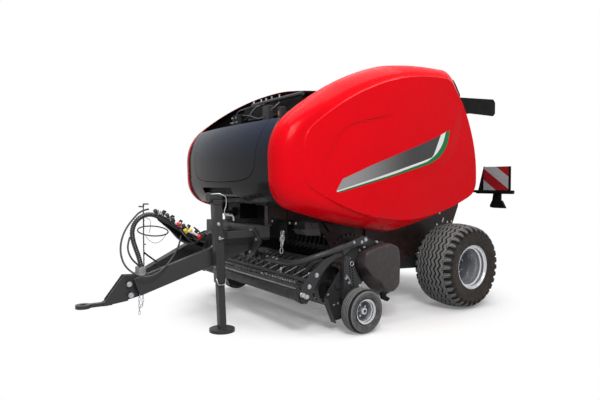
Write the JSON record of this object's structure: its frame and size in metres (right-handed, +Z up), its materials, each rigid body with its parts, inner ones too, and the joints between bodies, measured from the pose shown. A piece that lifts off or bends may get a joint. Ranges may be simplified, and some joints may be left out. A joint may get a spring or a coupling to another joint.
{
  "type": "round baler",
  "caption": "Trailed agricultural round baler with rounded side covers, belt chamber, lifting tailgate, pick-up with gauge wheels, drawbar and parking jack.",
  "frame": {"origin": "middle of the footprint of the bounding box, on the ground", "axes": "+X forward to the tow eye, +Y to the machine's left, +Z up"},
  "size_m": [5.062, 2.665, 2.6576],
  "materials": {
    "red_paint": "gloss",
    "cover_plastic": "gloss",
    "frame_paint": "satin",
    "wall_paint": "satin",
    "rim_paint": "satin",
    "steel": "satin",
    "rod_chrome": "polished",
    "tyre_rubber": "matte",
    "belt_rubber": "matte",
    "hose_rubber": "satin",
    "grey_cast": "matte"
  },
  "bodies": {
    "chassis": {"panel_hinges": "frame_paint", "chamber_walls": "wall_paint", "wall_pins": "steel", "front_rollers": "steel", "front_belts": "belt_rubber", "axle_frame": "frame_paint", "front_frame": "frame_paint", "drawbar_beams": "frame_paint", "hitch_tongue": "frame_paint", "jack_tube": "frame_paint", "cover_rail": "frame_paint", "cover_surround": "cover_plastic", "bay_equipment": "frame_paint", "gearbox": "frame_paint", "feed_channel": "frame_paint", "hose_stand": "steel", "parking_block": "grey_cast", "coupler_rack": "frame_paint", "conduit": "hose_rubber", "outer_hose": "hose_rubber", "inner_hose": "hose_rubber"},
    "tailgate": {"tailgate_walls": "wall_paint", "gate_bosses": "frame_paint", "tailgate_rollers": "steel", "tailgate_belts": "belt_rubber", "tailgate_frame": "frame_paint", "takeup_arms": "frame_paint", "light_beam": "frame_paint"},
    "cylinder_left": {"gate_barrel_left": "frame_paint"},
    "cylinder_right": {"gate_barrel_right": "frame_paint"},
    "rod_left": {"gate_rod_left": "rod_chrome"},
    "rod_right": {"gate_rod_right": "rod_chrome"},
    "panel_left": {"side_panel_left": "red_paint"},
    "panel_right": {"side_panel_right": "red_paint"},
    "flap": {"front_flap": "cover_plastic"},
    "leg": {"jack_leg": "steel"},
    "wheel_left": {"main_tyre_left": "tyre_rubber", "main_rim_left": "rim_paint"},
    "wheel_right": {"main_tyre_right": "tyre_rubber", "main_rim_right": "rim_paint"},
    "pickup": {"pickup_frame": "frame_paint", "stripper_bands": "steel", "drive_covers": "frame_paint", "gauge_arms": "frame_paint"},
    "gauge_wheel_left": {"gauge_tyre_left": "tyre_rubber", "gauge_rim_left": "rim_paint"},
    "gauge_wheel_right": {"gauge_tyre_right": "tyre_rubber", "gauge_rim_right": "rim_paint"},
    "reel": {"pickup_reel": "steel"},
    "windguard": {"windguard_frame": "frame_paint"},
    "roller": {"crop_roller": "steel"},
    "rotor": {"feed_rotor": "steel"}
  },
  "joints": [
    {"name": "tailgate_lift", "type": "hinge", "parent": "chassis", "child": "tailgate", "pos_m": [-1.051, 0, 2.44], "axis": [0, 1, 0], "range_deg": [0, 68]},
    {"name": "cylinder_swing_left", "type": "hinge", "parent": "chassis", "child": "cylinder_left", "pos_m": [-0.821, 0.705, 1.25], "axis": [0, 1, 0], "range_deg": [0, 10.8]},
    {"name": "rod_stroke_left", "type": "slide", "parent": "cylinder_left", "child": "rod_left", "axis": [-0.5222, 0, 0.8529], "range_m": [0, 0.4156]},
    {"name": "cylinder_swing_right", "type": "hinge", "parent": "chassis", "child": "cylinder_right", "pos_m": [-0.821, -0.705, 1.25], "axis": [0, 1, 0], "range_deg": [0, 10.8]},
    {"name": "rod_stroke_right", "type": "slide", "parent": "cylinder_right", "child": "rod_right", "axis": [-0.5222, 0, 0.8529], "range_m": [0, 0.4156]},
    {"name": "panel_left_lift", "type": "hinge", "parent": "chassis", "child": "panel_left", "pos_m": [-0.301, 0.815, 2.4], "axis": [1, 0, 0], "range_deg": [0, 60]},
    {"name": "panel_right_lift", "type": "hinge", "parent": "chassis", "child": "panel_right", "pos_m": [-0.301, -0.815, 2.4], "axis": [-1, 0, 0], "range_deg": [0, 60]},
    {"name": "flap_lift", "type": "hinge", "parent": "chassis", "child": "flap", "pos_m": [0.921, 0, 1.966], "axis": [0, -1, 0], "range_deg": [0, 80]},
    {"name": "jack_raise", "type": "slide", "parent": "chassis", "child": "leg", "axis": [0, 0, 1], "range_m": [0, 0.4]},
    {"name": "wheel_left_spin", "type": "hinge", "parent": "chassis", "child": "wheel_left", "pos_m": [-1.301, 1.035, 0.465], "axis": [0, 1, 0], "continuous": true},
    {"name": "wheel_right_spin", "type": "hinge", "parent": "chassis", "child": "wheel_right", "pos_m": [-1.301, -1.035, 0.465], "axis": [0, 1, 0], "continuous": true},
    {"name": "pickup_lift", "type": "hinge", "parent": "chassis", "child": "pickup", "pos_m": [-0.101, 0, 0.75], "axis": [0, -1, 0], "range_deg": [0, 12]},
    {"name": "gauge_left_spin", "type": "hinge", "parent": "pickup", "child": "gauge_wheel_left", "pos_m": [0.299, 1.25, 0.21], "axis": [0, 1, 0], "continuous": true},
    {"name": "gauge_right_spin", "type": "hinge", "parent": "pickup", "child": "gauge_wheel_right", "pos_m": [0.299, -1.25, 0.21], "axis": [0, 1, 0], "continuous": true},
    {"name": "reel_spin", "type": "hinge", "parent": "pickup", "child": "reel", "pos_m": [0.429, 0, 0.42], "axis": [0, 1, 0], "continuous": true},
    {"name": "windguard_lift", "type": "hinge", "parent": "pickup", "child": "windguard", "pos_m": [0.119, 0, 0.84], "axis": [0, -1, 0], "range_deg": [0, 10]},
    {"name": "roller_spin", "type": "hinge", "parent": "windguard", "child": "roller", "pos_m": [0.849, 0, 0.365], "axis": [0, 1, 0], "continuous": true},
    {"name": "rotor_spin", "type": "hinge", "parent": "chassis", "child": "rotor", "pos_m": [-0.071, 0, 0.6], "axis": [0, 1, 0], "continuous": true}
  ],
  "couplings": [
    {"joint": "cylinder_swing_left", "follows": "tailgate_lift", "ratio": 0.15154},
    {"joint": "rod_stroke_left", "follows": "tailgate_lift", "m_per_rad": 0.34595},
    {"joint": "cylinder_swing_right", "follows": "tailgate_lift", "ratio": 0.15154},
    {"joint": "rod_stroke_right", "follows": "tailgate_lift", "m_per_rad": 0.34595}
  ]
}
